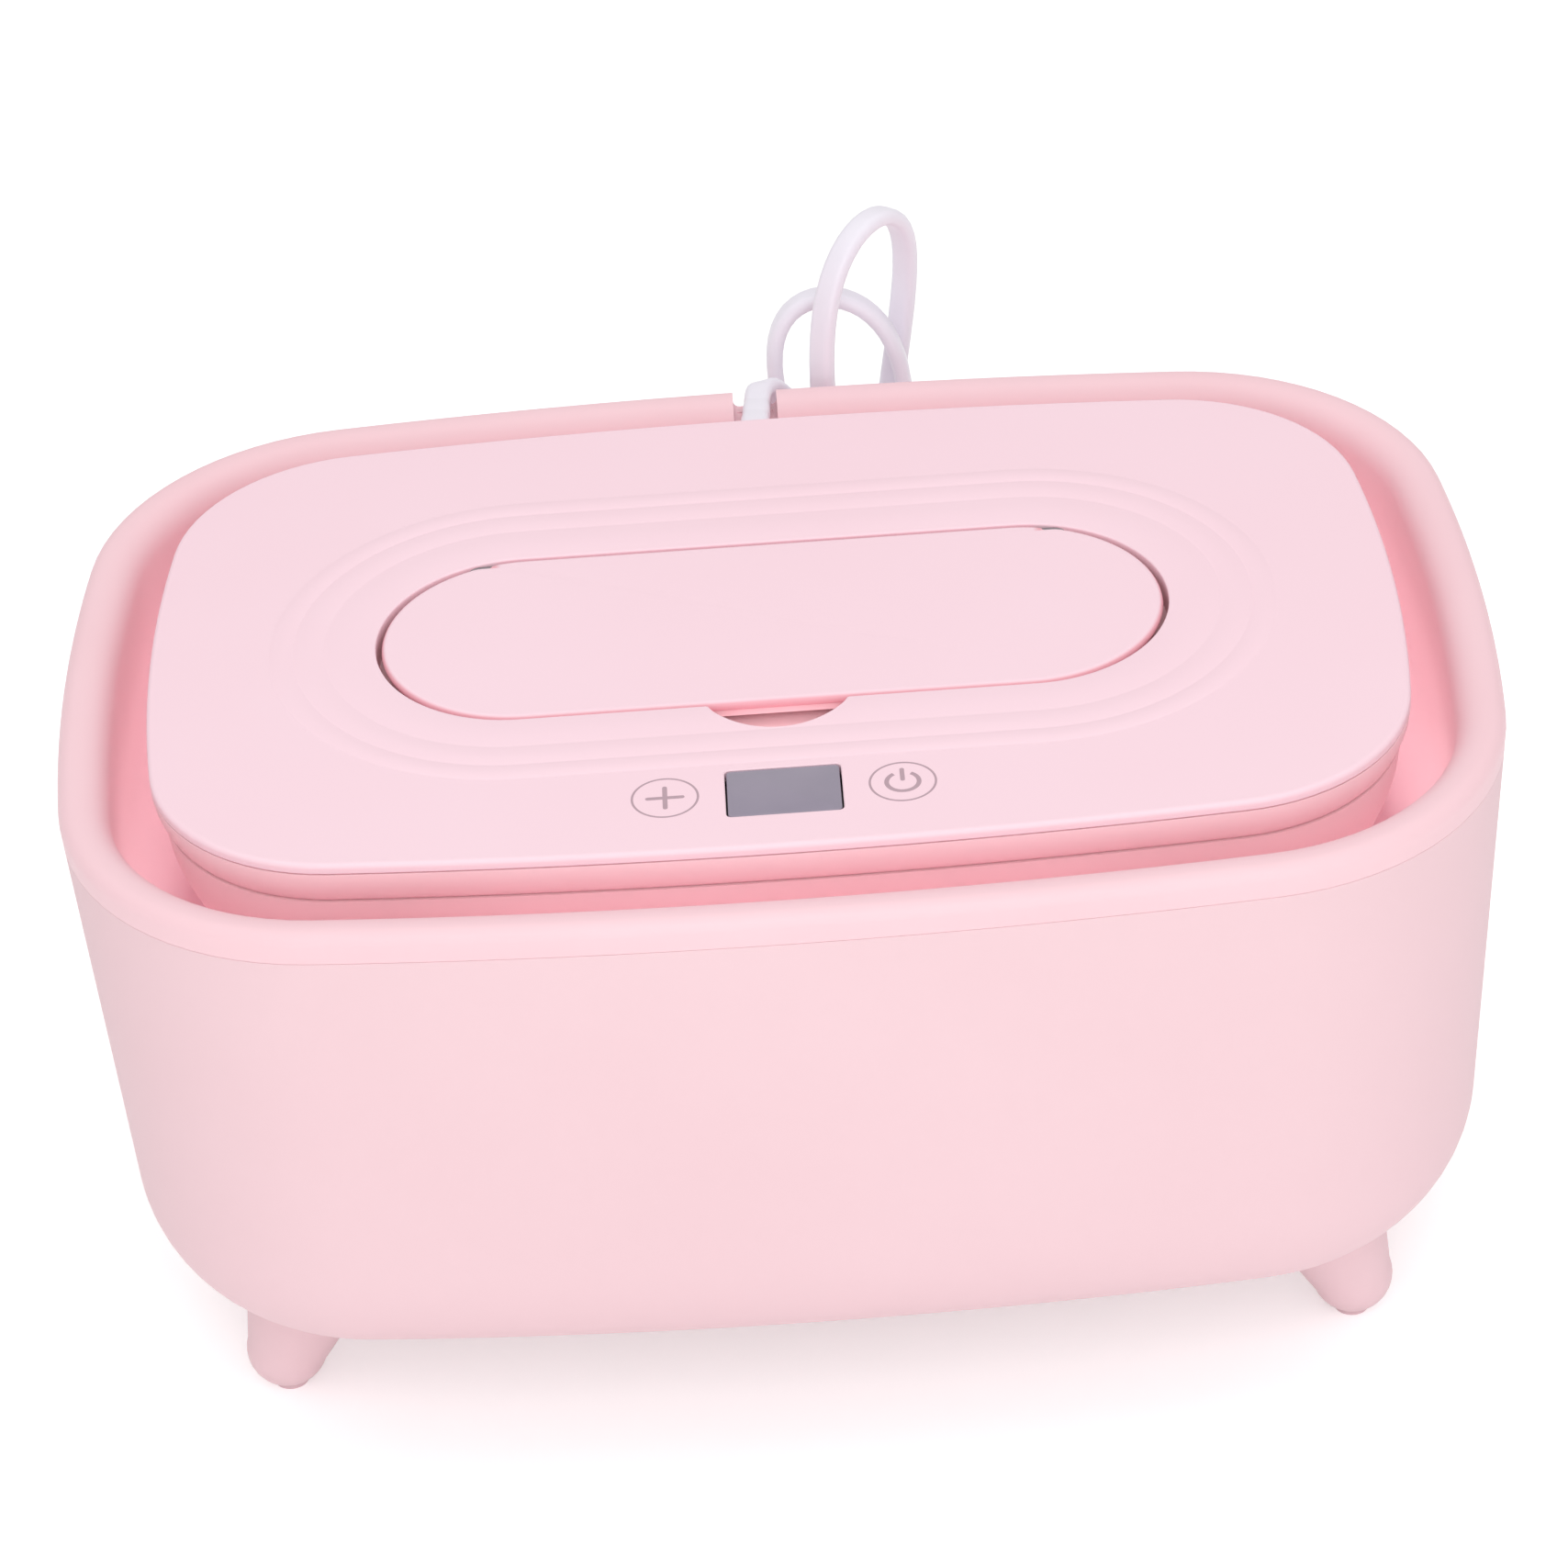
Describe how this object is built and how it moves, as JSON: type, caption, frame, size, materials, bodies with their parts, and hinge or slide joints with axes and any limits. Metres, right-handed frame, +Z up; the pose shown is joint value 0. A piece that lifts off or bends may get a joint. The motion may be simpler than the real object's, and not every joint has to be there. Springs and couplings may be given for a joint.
{
  "type": "baby wipe warmer",
  "caption": "Low rounded tub on splayed feet with a lift-off heated lid, a hinged dispensing flap, touch keys, a display and a flat two-core lead.",
  "frame": {"origin": "on the floor, under the centre of the tub", "axes": "+X along the length to the right seen from the front, +Y to the back where the lead leaves, +Z up"},
  "size_m": [0.2536, 0.2018, 0.1556],
  "materials": {
    "shell_plastic": "satin",
    "liner_plastic": "satin",
    "lid_plastic": "satin",
    "band_plastic": "satin",
    "foot_rubber": "matte",
    "screw_steel": "satin",
    "plate_aluminium": "satin",
    "film_foil": "matte",
    "pad_foam": "matte",
    "silicone": "matte",
    "board_green": "satin",
    "part_dark": "matte",
    "window_smoke": "gloss",
    "clamp_plastic": "matte",
    "lead_white": "satin"
  },
  "bodies": {
    "tub": {"outer_shell": "shell_plastic", "inner_liner": "liner_plastic", "leg_front_left": "shell_plastic", "leg_front_right": "shell_plastic", "leg_rear_left": "shell_plastic", "leg_rear_right": "shell_plastic", "leg_screws": "screw_steel", "foot_pads": "foot_rubber", "shell_screws": "screw_steel"},
    "lid": {"lid_cover": "lid_plastic", "lid_mid_shell": "band_plastic", "lid_base": "lid_plastic", "flip_well": "band_plastic", "throat_gasket": "silicone", "heater_plate": "plate_aluminium", "heating_film": "film_foil", "insulation_pad": "pad_foam", "temperature_sensor": "part_dark", "thermal_fuse": "part_dark", "control_board": "board_green", "power_board": "board_green", "power_parts": "part_dark", "board_screws": "screw_steel", "display_module": "part_dark", "display_window": "window_smoke", "key_pads": "pad_foam", "hinge_pins": "screw_steel", "lid_screws": "screw_steel", "cord_clamp": "clamp_plastic", "clamp_screws": "screw_steel", "inner_lead": "lead_white", "strain_relief": "lead_white", "power_lead": "lead_white", "lead_hank": "lead_white", "hank_tie": "lead_white", "plug_lead": "lead_white", "plug_body": "lead_white", "plug_pins": "screw_steel"},
    "flip": {"flip_lid": "lid_plastic", "flip_inner_panel": "band_plastic", "flip_seal": "silicone"}
  },
  "joints": [
    {"name": "lid_lift", "type": "slide", "parent": "tub", "child": "lid", "axis": [0, 0, 1], "range_m": [0, 0.06]},
    {"name": "flip_hinge", "type": "hinge", "parent": "lid", "child": "flip", "pos_m": [0, 0.0241, 0.131], "axis": [-1, 0, 0], "range_deg": [0, 95]}
  ]
}
